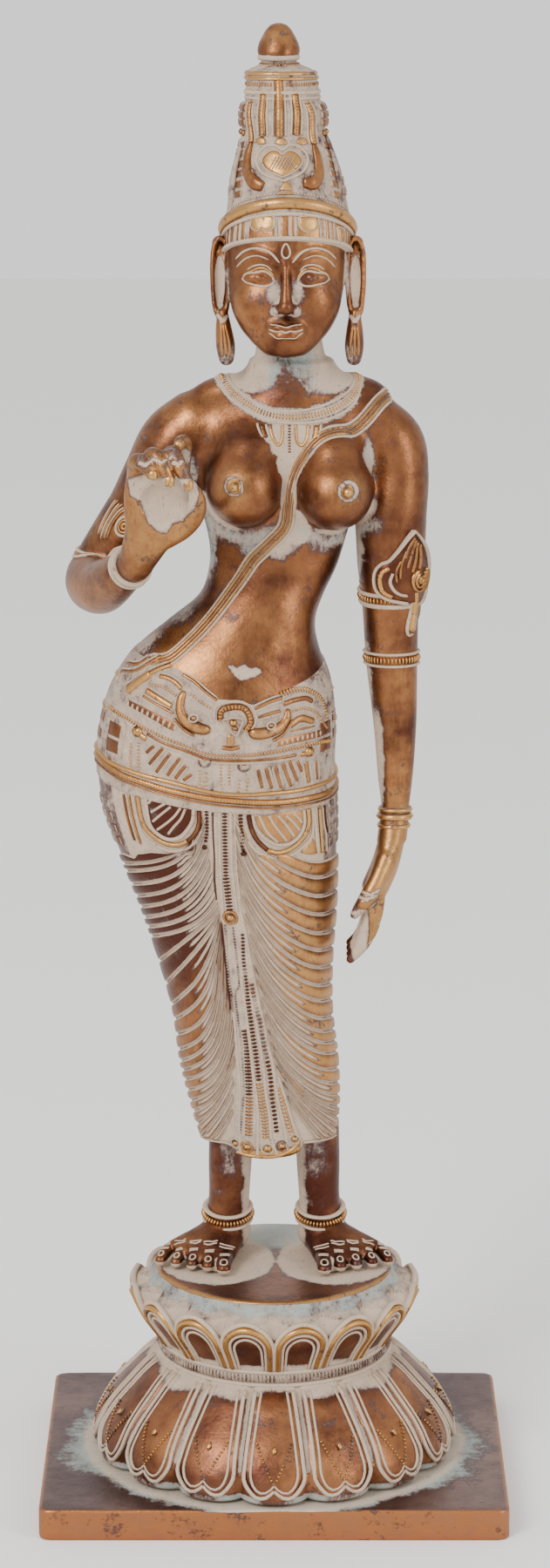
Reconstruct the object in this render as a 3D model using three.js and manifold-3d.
// A standing goddess of cast brass on a double lotus and a rectangular plate.
// Millimetres, +Z up, the figure looks along -Y. The origin is the middle of the plate's underside.
import * as THREE from "three";
import { mergeVertices } from "three/addons/utils/BufferGeometryUtils.js";
import Module from "manifold-3d";

// Driving dimensions
const plateWidth = 145;
const plateDepth = 116.5;
const plateThickness = 10;
const plateCornerRadius = 3;
const cornerSteps = 2;
const seatGap = 0.3;
const lotusHeight = 59.5;
const lotusFootRadius = 57.2;
const lotusNeckRadius = 35.6;
const lotusRimRadius = 44.9;
const lotusTopRadius = 36.9;
const topDrop = 5.2;
const neckHeight = 34;
const neckBandHalf = 1.8;
const neckBandProud = 0.9;
const footTuck = 1.5;
const petalGroove = 4;
const petalCount = 16;
const petalSteps = 4;
const figureHeight = 386.5;

const lotusSeat = plateThickness + seatGap;
const figureSeat = lotusSeat + lotusHeight + seatGap;
const degrees = Math.PI / 180;

const wasm = await Module();
wasm.setup();

// A closed skin through rings of equally many points, with a fan over each end.
// The points of a ring run counter-clockwise when seen from the end that the rings run to.
function skin(rings) {
  const count = rings[0].length;
  const middle = (ring) => ring.reduce((sum, p) => sum.add(p), new THREE.Vector3()).divideScalar(count);
  const points = [...rings.flat(), middle(rings[0]), middle(rings.at(-1))];
  const foot = rings.length * count;
  const top = foot + 1;
  const faces = [];
  for (let i = 0; i < count; i += 1) {
    const next = (i + 1) % count;
    faces.push(foot, next, i);
    faces.push(top, (rings.length - 1) * count + i, (rings.length - 1) * count + next);
    for (let r = 0; r + 1 < rings.length; r += 1) {
      const low = r * count;
      const high = low + count;
      faces.push(low + i, low + next, high + next);
      faces.push(low + i, high + next, high + i);
    }
  }
  const geometry = new THREE.BufferGeometry().setFromPoints(points);
  geometry.setIndex(faces);
  return geometry;
}

// Joining and cutting of closed geometries
function solid(geometry) {
  const bare = geometry.clone();
  bare.deleteAttribute("normal");
  bare.deleteAttribute("uv");
  const merged = mergeVertices(bare, 1e-4);
  const vertProperties = new Float32Array(merged.attributes.position.array);
  const triVerts = new Uint32Array(merged.index.array);
  return new wasm.Manifold(new wasm.Mesh({ numProp: 3, vertProperties, triVerts }));
}

const join = (geometries) => geometries.map(solid).reduce((whole, piece) => whole.add(piece));

function geometryOf(manifold) {
  const mesh = manifold.getMesh();
  const geometry = new THREE.BufferGeometry();
  geometry.setAttribute("position", new THREE.BufferAttribute(mesh.vertProperties, 3));
  geometry.setIndex(new THREE.BufferAttribute(mesh.triVerts, 1));
  return geometry;
}

// The figure's free form is drawn in thousandths of its height above the soles.
const share = figureHeight / 1000;
const at = (x, y, z) => new THREE.Vector3(x, y, z).multiplyScalar(share);

// A smooth reading, at a height, of rows that start with a height and run downwards
function reading(rows, height) {
  const last = rows.length - 1;
  let i = rows.findIndex((row) => row[0] <= height) - 1;
  if (i === -2) i = last - 1;
  if (i < 0) i = 0;
  const [above, below] = [rows[i], rows[i + 1]];
  const before = rows[Math.max(i - 1, 0)];
  const after = rows[Math.min(i + 2, last)];
  const span = below[0] - above[0];
  const t = THREE.MathUtils.clamp((height - above[0]) / span, 0, 1);
  return above.slice(1).map((value, k) => {
    const end = below[k + 1];
    const inward = ((end - before[k + 1]) / (below[0] - before[0])) * span;
    const outward = ((after[k + 1] - value) / (after[0] - above[0])) * span;
    const slope = [i === 0 ? end - value : inward, i + 1 === last ? end - value : outward];
    const [t2, t3] = [t * t, t * t * t];
    return (2 * t3 - 3 * t2 + 1) * value + (t3 - 2 * t2 + t) * slope[0]
      + (3 * t2 - 2 * t3) * end + (t3 - t2) * slope[1];
  });
}

// A point on a form of oval rings, at a turn in degrees from the front towards +X
function onForm(rows, turn, height, proud = 0) {
  const [middleX, halfWidth, middleY, halfDepth] = reading(rows, height);
  const x = middleX + (halfWidth + proud) * Math.sin(turn * degrees);
  const y = middleY - (halfDepth + proud) * Math.cos(turn * degrees);
  return at(x, y, height);
}

// One ring of a form. Its height and its proud are numbers, or follow the turn.
function formRing(rows, steps, height, proud = 0) {
  return Array.from({ length: steps }, (_, i) => {
    const turn = (360 * i) / steps;
    const z = typeof height === "number" ? height : height(turn);
    return onForm(rows, turn, z, typeof proud === "number" ? proud : proud(turn));
  });
}

// A height that runs smoothly through four values at the front, right, back and left
function around(front, right, back, left) {
  const mean = (front + right + back + left) / 4;
  const second = (front + back - right - left) / 4;
  return (turn) => {
    const a = turn * degrees;
    return mean + ((front - back) / 2) * Math.cos(a) + ((right - left) / 2) * Math.sin(a)
      + second * Math.cos(2 * a);
  };
}

// A limb: oval rings square to a path of [x, y, z, half across, half deep], its ends rounded or flat.
// What would reach below the soles is pressed level with them.
function limb(stations, { sides = 8, across = new THREE.Vector3(1, 0, 0), round = "both" } = {}) {
  const spots = stations.map((s) => at(s[0], s[1], s[2]));
  const last = spots.length - 1;
  const heading = (i) => spots[Math.min(i + 1, last)].clone().sub(spots[Math.max(i - 1, 0)]).normalize();
  const ring = (i, centre, scale) => {
    const along = heading(i);
    const side = across.clone().addScaledVector(along, -across.dot(along)).normalize();
    const deep = along.clone().cross(side);
    return Array.from({ length: sides }, (_, k) => {
      const a = (2 * Math.PI * (k + 0.5)) / sides;
      return centre.clone()
        .addScaledVector(side, Math.cos(a) * stations[i][3] * scale * share)
        .addScaledVector(deep, Math.sin(a) * stations[i][4] * scale * share)
        .max(new THREE.Vector3(-Infinity, -Infinity, 0));
    });
  };
  const roundOff = (i, sign) => {
    const reach = 0.5 * sign * Math.min(stations[i][3], stations[i][4]) * share;
    return ring(i, spots[i].clone().addScaledVector(heading(i), reach), 0.6);
  };
  const rings = spots.map((spot, i) => ring(i, spot, 1));
  if (round === "both") rings.unshift(roundOff(0, -1));
  if (round !== "none") rings.push(roundOff(last, 1));
  return skin(rings);
}

// Stations of a ring that stands proud of a limb, part of the way from one spot to the next
function cuff(from, to, part, width, radius, proud) {
  const length = Math.hypot(...from.map((value, i) => to[i] - value));
  const step = 0.5;
  const station = (shift, grow) => [
    ...from.map((value, i) => value + (to[i] - value) * (part + shift / length)),
    radius + grow, radius + grow,
  ];
  const half = width / 2;
  return [station(-half - step, 0), station(-half, proud), station(half, proud), station(half + step, 0)];
}

function ball([x, y, z], [a, b, c], across = 8, up = 6) {
  const geometry = new THREE.SphereGeometry(1, across, up);
  geometry.rotateX(Math.PI / 2);
  geometry.scale(a * share, b * share, c * share);
  const centre = at(x, y, z);
  geometry.translate(centre.x, centre.y, centre.z);
  return geometry;
}

// A strand that lies on a form through [turn, height] places, half sunk in it
function strand(rows, places, halfWidth, proud, steps, sides = 5) {
  const knots = places.map(([turn, height]) => new THREE.Vector3(turn, height, 0));
  const line = new THREE.CatmullRomCurve3(knots).getSpacedPoints(steps);
  return limb(line.map((p) => [
    ...onForm(rows, p.x, p.y, proud).divideScalar(share).toArray(), halfWidth, halfWidth,
  ]), { sides, across: new THREE.Vector3(0.1, 1, 0.2), round: "none" });
}

// Trunk and skirt: [height, middle X, half width, middle Y, half depth]
const trunk = [
  [740, 14, 31, 9, 28], [722, 14, 42, 10.5, 31], [712, 13, 66, 10, 33.5], [702, 12, 80, 9.5, 36],
  [681, 7, 85.5, 9, 39], [651, 4, 72, 6.5, 39.5], [620, 3, 59, 3, 36], [578, -1.5, 50, -2.5, 34.5],
  [557, -10.5, 49, -5, 36], [536, -26.5, 58.5, -7, 42], [516, -36.5, 72, -7, 50.5],
  [494, -40.5, 83.5, -6.5, 57.5], [452, -45, 93, -4, 63.5], [420, -46.5, 94, -2.5, 64],
  [388, -43.5, 93.5, -1.5, 63], [344, -36, 86, -0.5, 60.5], [301, -28.5, 77.5, 0.5, 56.5],
  [257, -23, 69, 2.5, 52.5], [214, -17.5, 63.5, 5, 48.5], [169, -12, 63, 8, 46.5],
  [125, -6.5, 58, 9.5, 44.5], [92, -3.5, 51.5, 10.5, 40.5],
];
const trunkSteps = 16;
const foldCount = 14;
const sashHalfTurn = 13;

// The height of one fold's line at the hips, and the turn's share of its rise towards the sash
const foldEdge = (k) => 350 - 19.2 * k + 0.14 * k * k;
const towardSash = (turn) => Math.exp(-Math.min(turn, 360 - turn) / 24);
const towardBack = (turn) => (1 - Math.cos(turn * degrees)) / 2;

function foldLine(k) {
  const edge = foldEdge(k);
  const rise = Math.min(42, 0.85 * (edge - 96));
  return (turn) => edge + rise * towardSash(turn) - 9 * towardBack(turn) * Math.min(1, (edge - 96) / 60);
}

function trunkSkin() {
  const ring = (height, proud) => formRing(trunk, trunkSteps, height, proud);
  const open = (turn) => Math.min(turn, 360 - turn) > sashHalfTurn;
  const folds = Array.from({ length: foldCount }, (_, i) => {
    const k = foldCount - i;
    return [
      ring(foldLine(k + 0.12), (turn) => (open(turn) ? -2.2 : 2)),
      ring(foldLine(k - 0.45), (turn) => (open(turn) ? 1 : 2)),
    ];
  }).flat();
  return skin([
    ring(95, 0), ...folds,
    ring(around(395, 396, 400, 412), -1), ring(around(397, 398, 404, 416), 2.5),
    ring(around(403, 404, 412, 422), 1), ring(around(410, 411, 420, 430), 2.5),
    ring(around(412, 414, 424, 436), -1), ring(around(434, 445, 462, 478), -1),
    ring(around(441, 452, 470, 486), 3), ring(around(448, 460, 479, 495), 0),
    ring(around(480, 500, 508, 520), 0), ring(around(487, 508, 516, 528), 3),
    ring(around(493, 514, 522, 534), 0),
    ...[550, 574, 606, 642, 670].map((z) => ring(z, 0)),
    ring(around(684, 690, 686, 690), 0), ring(around(690, 704, 702, 704), 0),
    ring(around(692, 713, 710, 713), 4), ring(around(704, 725, 722, 725), 4),
    ring(around(707, 727, 724, 727), 0), ring(740, 0),
  ]);
}

// What lies on the skirt: hip loops, sash, tassel and the clasp with its two beasts' heads
function girdleWork() {
  const loop = (side, top, bottom) => strand(trunk, [
    [side * 56, top], [side * 52, bottom + 9], [side * 38, bottom],
    [side * 24, bottom + 8], [side * 17, top - 14],
  ], 4, 0.5, 6, 4);
  const hem = trunk.at(-1)[0];
  const sash = limb([
    [-33, -62, 330, 13, 5], [-26, -55, 250, 15, 5], [-15, -46, 170, 19, 5], [-7, -39, hem + 12, 24, 5],
    [-7, -38, hem + 5, 22, 4],
  ], { sides: 4, round: "none" });
  const beast = (side) => limb([
    [-36 + side * 12, -67, 478, 6, 4], [-36 + side * 27, -66, 466, 8, 6], [-36 + side * 43, -61, 471, 8, 6],
    [-36 + side * 50, -57, 497, 4, 3],
  ], { sides: 4, across: new THREE.Vector3(0, -0.6, 1), round: "end" });
  return [
    loop(-1, 402, 370), loop(1, 396, 360),
    limb([[-36, -68, 402, 5, 5], [-34, -62, 316, 5, 5]], { sides: 4, round: "none" }),
    ball([-33, -59, 308], [9, 8, 9], 6, 4), sash,
    ball([-36, -64, 478], [15, 7, 14], 8, 4), beast(-1), beast(1),
  ];
}

// The neck ring's pendants, the strand that crosses the chest, and the chest itself
function chestWork() {
  const tabs = [-28, -14, 0, 14, 28].map((turn) => {
    const [top, tip] = [onForm(trunk, turn, 694), onForm(trunk, turn, 680)].map((p) => p.divideScalar(share));
    return limb([[top.x, top.y, top.z, 4, 3], [tip.x, tip.y, tip.z, 3, 3]], { sides: 4, round: "none" });
  });
  const breast = (x, z) => ball([x, -28, z], [30, 36, 31], 9, 6);
  const thread = strand(trunk, [
    [100, 712], [62, 702], [30, 680], [14, 655], [5, 630], [-2, 600], [-22, 575], [-45, 548], [-66, 522],
  ], 6.5, -1, 7, 3);
  return [breast(-23, 647), breast(47, 644), ...tabs, thread];
}

// The arm that hangs beside the hip, and its hand with the thumb forward
function hangingArm() {
  const [armlet, elbow, wrist] = [[92, 0, 546], [93, 0, 504], [96, -6, 376]];
  return [
    limb([
      [80, 8, 694, 22, 24], [92, 7, 676, 26, 28], [96.5, 5, 651, 25, 28], [92.5, 2.5, 620, 28, 29],
      [92, 2.5, 588, 27.5, 27], ...cuff([92, 2.5, 588], elbow, 0.38, 12, 25, 3),
      ...cuff(armlet, elbow, 1, 7, 20.5, 2.5), [96, -1, 450, 17, 18], [96.5, -2.5, 410, 14, 14],
      ...cuff([96.5, -2.5, 410], wrist, 1, 10, 10.5, 4), [91, -10, 352, 11, 15], [79, -15, 318, 12, 17],
    ], { sides: 8 }),
    limb([[87, -24, 336, 7, 8], [76, -33, 322, 6, 8], [65, -33, 304, 4, 4]], { sides: 5, round: "end" }),
    ...[0, 1, 2, 3].map((i) => limb([
      [81, -26 + 8.5 * i, 320, 8, 5], [76, -27 + 7 * i, 291, 8, 4.4], [60, -27 + 6 * i, 263 + 3 * i, 3.5, 3],
    ], { sides: 4, round: "end" })),
    ball([101, -22, 586], [14, 9, 27], 6, 4),
  ];
}

// The raised arm: elbow out and back, forearm forward, and a cupped palm with curled fingers
function raisedArm() {
  const palm = limb([
    [-104, -98, 602, 13, 12], [-101, -106, 616, 19, 11], [-92, -114, 638, 27, 11], [-85, -118, 672, 30, 11],
  ], { sides: 8, round: "none" });
  const hollow = ball([-83, -137, 652], [23, 20, 21], 8, 5);
  const finger = (stations) => limb(stations, { sides: 4, round: "end" });
  const [upperArm, bend, wrist] = [[-105, 17, 624], [-134, 20, 578], [-106, -94, 599]];
  return [
    limb([
      [-64, 8, 694, 22, 24], [-80, 9, 677, 25, 28], [-93, 12, 650, 25, 28], [-105, 17, 624, 25, 27],
      ...cuff(upperArm, bend, 0.6, 9, 24, 3), [-140, 14, 567, 24, 25],
      [-137, -18, 567, 21, 22], [-122, -58, 582, 17, 18], ...cuff([-122, -58, 582], wrist, 0.9, 8, 13, 3),
    ], { sides: 8, across: new THREE.Vector3(1, 0.3, 0.2) }),
    geometryOf(solid(palm).subtract(solid(hollow))),
    finger([[-104, -114, 664, 7, 7], [-103, -136, 686, 6.5, 6], [-90, -143, 675, 4.5, 4.5]]),
    finger([[-94, -114, 666, 7, 7], [-92, -138, 690, 6.5, 6], [-77, -145, 669, 4.5, 4.5]]),
    finger([[-82, -114, 666, 7, 7], [-78, -139, 691, 6.5, 6], [-63, -145, 665, 4.5, 4.5]]),
    finger([[-71, -114, 666, 7, 7], [-68, -121, 698, 6.5, 6], [-72, -135, 695, 4, 4]]),
    limb([
      [-78, -106, 624, 9, 9], [-60, -120, 640, 8.5, 8], [-59, -141, 664, 5, 5],
    ], { sides: 5, round: "end" }),
    ball([-124, -2, 612], [13, 9, 20], 6, 4),
  ];
}

// Head, ears and their long drops. The face is a plain one on even proportions.
const chinHeight = 749;
const browHeight = 862;
const headMiddle = 9;
const headHalfWidth = 47;
const headSteps = 16;

function head() {
  const profile = [
    [0, 0.24, -42, -22], [0.05, 0.42, -47, -14], [0.14, 0.64, -48, -2], [0.26, 0.81, -47, 16],
    [0.4, 0.93, -47.5, 30], [0.55, 0.99, -46, 39], [0.68, 1, -47.5, 41], [0.82, 0.98, -47, 42],
    [1, 0.8, -38, 36],
  ];
  return skin(profile.map(([t, wide, front, back]) => {
    const z = chinHeight + t * (browHeight - chinHeight);
    return Array.from({ length: headSteps }, (_, i) => {
      const turn = (2 * Math.PI * i) / headSteps;
      const x = headMiddle + wide * headHalfWidth * Math.sin(turn);
      return at(x, 0.5 * (front + back) - 0.5 * (back - front) * Math.cos(turn), z);
    });
  }));
}

function face() {
  const level = (t) => chinHeight + t * (browHeight - chinHeight);
  const eye = (side) => ball([headMiddle + side * 20, -38, level(0.56)], [11.5, 7.5, 4], 6, 3);
  const brow = (side) => limb([
    [headMiddle + side * 7, -47, level(0.68), 2, 1.6], [headMiddle + side * 20, -43.5, level(0.715), 2, 1.6],
    [headMiddle + side * 34, -33, level(0.67), 1.6, 1.4],
  ], { sides: 3, across: new THREE.Vector3(0, 0, 1), round: "none" });
  const nose = limb([
    [headMiddle, -44, level(0.64), 3.2, 4], [headMiddle, -48, level(0.5), 4, 5],
    [headMiddle, -52, level(0.36), 6.5, 6.5], [headMiddle, -48, level(0.32), 7, 4.5],
  ], { sides: 6, round: "none" });
  const lip = (t, half, high) => ball([headMiddle, -45.5, level(t)], [half, 5, high], 6, 3);
  return [eye(-1), eye(1), brow(-1), brow(1), nose, lip(0.225, 11.5, 2.6), lip(0.175, 9.5, 2.8)];
}

function ear(side) {
  const x = headMiddle + (side < 0 ? -51 : 54);
  const sway = side < 0 ? 5 : -1;
  return [
    limb([
      [x, 2, 834, 8, 8], [x, -3, 816, 7, 10], [x, -8, 796, 5, 8], [x + sway * 0.3, -11, 776, 4, 7],
    ], { sides: 5, round: "end" }),
    limb([
      [x + sway * 0.4, -12, 784, 5, 7], [x + sway * 0.7, -14, 766, 8, 8], [x + sway, -14, 748, 6, 7],
    ], { sides: 6, round: "end" }),
  ];
}

// Crown: [height, middle X, half width, middle Y, half depth]
const crown = [
  [1000, 3.5, 7, 31, 7], [996, 3.5, 10, 31, 10], [984, 3.5, 16, 29, 16], [974, 3.5, 14.5, 27, 14.5],
  [969, 4, 13, 26, 13], [964, 5, 24, 25, 24], [954, 6, 27, 24, 27], [944, 6.5, 28.5, 22, 28.5],
  [935, 7, 32, 21, 32], [915, 7.5, 33, 18, 33], [905, 8.5, 36, 16, 36], [885, 9.5, 42, 11, 42],
  [865, 10.5, 46, 6, 46], [846, 10.5, 49, 2, 47], [800, 9.5, 47, 0, 46],
];

function crownWork() {
  const steps = 12;
  const tilt = (height, amount) => around(height + amount, height, height - amount, height);
  const ring = (height, proud = 0) => formRing(crown, steps, height, proud);
  const body = skin([
    ring(tilt(822, 20), -2), ring(tilt(824, 20), 1), ring(tilt(838, 25), 1), ring(tilt(840, 25), 4),
    ring(tilt(848, 26), 4), ring(tilt(852, 26), -1), ring(tilt(908, 4), 0), ring(914, 3), ring(919, -2),
    ring(936, -2), ring(940, 2), ring(944, 0.5), ring(958, 1), ring(966, 1), ring(970, -1), ring(976, 2),
    ring(985, 2), ring(994, 0), ring(1000, -3),
  ]);
  const bars = [-56, -28, 0, 28, 56].map((turn) => strand(crown, [[turn, 938], [turn, 914]], 4.5, 0, 1, 3));
  const heart = ball([9, -22, 903], [14, 7, 11], 7, 4);
  const beast = (side) => limb([
    [9 + side * 22, -8, 920, 3.5, 4], [9 + side * 26, -16, 898, 6, 5], [9 + side * 15, -30, 885, 6, 5],
  ], { sides: 4, round: "none" });
  const leaf = (side) => limb([
    [10 + side * 39, 2, 872, 4, 16], [10 + side * 38, 6, 892, 4, 14], [10 + side * 31, 12, 916, 2, 3],
  ], { sides: 5, round: "none" });
  return [body, ...bars, heart, beast(-1), beast(1), leaf(-1), leaf(1)];
}

// Shins, feet and toes
function leg(side) {
  const ankle = 35 * side;
  const toes = Array.from({ length: 5 }, (_, i) => {
    const [rootX, rootY] = [ankle + side * (4 + 11.6 * i), -8 + 2.5 * i];
    const [tipX, tipY] = [ankle + side * (6 + 13 * i), -33 + 4.5 * i - (i === 0 ? 3 : 0)];
    const half = i === 0 ? 6.4 : 5.1 - 0.2 * i;
    return limb([
      [rootX, rootY, 9.5, half, 6], [tipX, tipY, 5.4, half * 0.8, 4.6],
    ], { sides: 5, round: "none" });
  });
  return [
    limb([
      [ankle, 14, 125, 18, 19], [ankle + side, 16, 80, 18, 18],
      ...cuff([ankle + side, 16, 80], [ankle + side * 3, 17.5, 33], 1, 8, 19, 3.5),
      [ankle + side * 4, 18, 20, 19, 18],
    ], { sides: 8, round: "none" }),
    limb([
      [ankle - side * 2, 42, 12, 13, 12], [ankle, 30, 17, 17, 18], [ankle + side * 8, 10, 18, 20, 16],
      [ankle + side * 20, -4, 13, 27, 13], [ankle + side * 29, -14, 7, 31, 7.5],
    ], { sides: 8, round: "end" }),
    ...toes,
  ];
}

function figureGeometry() {
  const neck = limb([
    [13, 9, 735, 30, 27], [12, 6, 750, 27, 25], [10, 2, 785, 30, 27],
  ], { sides: 10, round: "none" });
  const hair = ball([10, 22, 806], [40, 30, 36], 9, 5);
  return geometryOf(join([
    trunkSkin(), ...girdleWork(), ...chestWork(), ...hangingArm(), ...raisedArm(),
    neck, hair, head(), ...face(), ...ear(-1), ...ear(1), ...crownWork(), ...leg(-1), ...leg(1),
  ]));
}

// Double lotus. Where a turn falls in its petal: 0 at the petal's middle, 1 at its edge
function acrossPetal(turn, offset) {
  const pitch = 360 / petalCount;
  const place = (((turn + offset) / pitch) % 1 + 1) % 1;
  return Math.abs(place > 0.5 ? place - 1 : place) * 2;
}

function lotusGeometry() {
  const steps = petalCount * petalSteps;
  const spread = lotusFootRadius - lotusNeckRadius;
  const bowl = lotusRimRadius - lotusNeckRadius;
  const petalHalf = (Math.PI * lotusRimRadius) / petalCount;
  const rimHeight = lotusHeight - topDrop;
  const bandTop = neckHeight + neckBandHalf;
  const ring = (shape) => Array.from({ length: steps }, (_, i) => {
    const turn = (360 * i) / steps;
    const [radius, z] = shape(turn);
    return new THREE.Vector3(radius * Math.sin(turn * degrees), -radius * Math.cos(turn * degrees), z);
  });
  const lower = (reach, height, depth) => ring((turn) => {
    const u = acrossPetal(turn, 0);
    return [lotusNeckRadius + spread * reach - petalGroove * depth * u ** 3, height * neckHeight];
  });
  const upper = (rise, reach, depth, lift = 0) => ring((turn) => {
    const u = acrossPetal(turn, 180 / petalCount);
    const rim = rimHeight - petalHalf * (1 - Math.sqrt(1 - 0.9 * u * u));
    const narrow = (rimHeight - rim) / (rimHeight - bandTop);
    const radius = lotusNeckRadius + bowl * reach * (1 - 0.55 * narrow) - petalGroove * depth * u ** 3;
    return [radius, bandTop + rise * (rim - bandTop) + lift];
  });
  const plain = (radius, z) => ring(() => [radius, z]);
  return skin([
    plain(lotusFootRadius - petalGroove - footTuck, 0),
    lower(1, 0.1, 1), lower(0.93, 0.3, 0.6), lower(0.46, 0.68, 0.3),
    plain(lotusNeckRadius, neckHeight - neckBandHalf), plain(lotusNeckRadius + neckBandProud, neckHeight),
    plain(lotusNeckRadius, bandTop), upper(0.45, 0.6, 0.3), upper(1, 1, 0.25), upper(1, 0.84, 0.25, 0.9),
    plain(lotusTopRadius, lotusHeight),
  ]);
}

function plateGeometry() {
  const [x, y, r] = [plateWidth / 2, plateDepth / 2, plateCornerRadius];
  const outline = new THREE.Shape();
  outline.absarc(x - r, y - r, r, 0, Math.PI / 2);
  outline.absarc(r - x, y - r, r, Math.PI / 2, Math.PI);
  outline.absarc(r - x, r - y, r, Math.PI, 1.5 * Math.PI);
  outline.absarc(x - r, r - y, r, 1.5 * Math.PI, 2 * Math.PI);
  return new THREE.ExtrudeGeometry(outline, {
    depth: plateThickness,
    bevelEnabled: false,
    curveSegments: cornerSteps,
  });
}

function piece(name, geometry, height, color, roughness) {
  const material = new THREE.MeshStandardMaterial({ color, roughness, metalness: 1 });
  const mesh = new THREE.Mesh(geometry, material);
  mesh.name = name;
  mesh.position.z = height;
  return mesh;
}

const statue = new THREE.Group();
statue.add(
  piece("figure", figureGeometry(), figureSeat, 0xa2683a, 0.42),
  piece("lotus_pedestal", lotusGeometry(), lotusSeat, 0x8f5a36, 0.48),
  piece("base_plate", plateGeometry(), 0, 0xb07c46, 0.5),
);

export default statue;
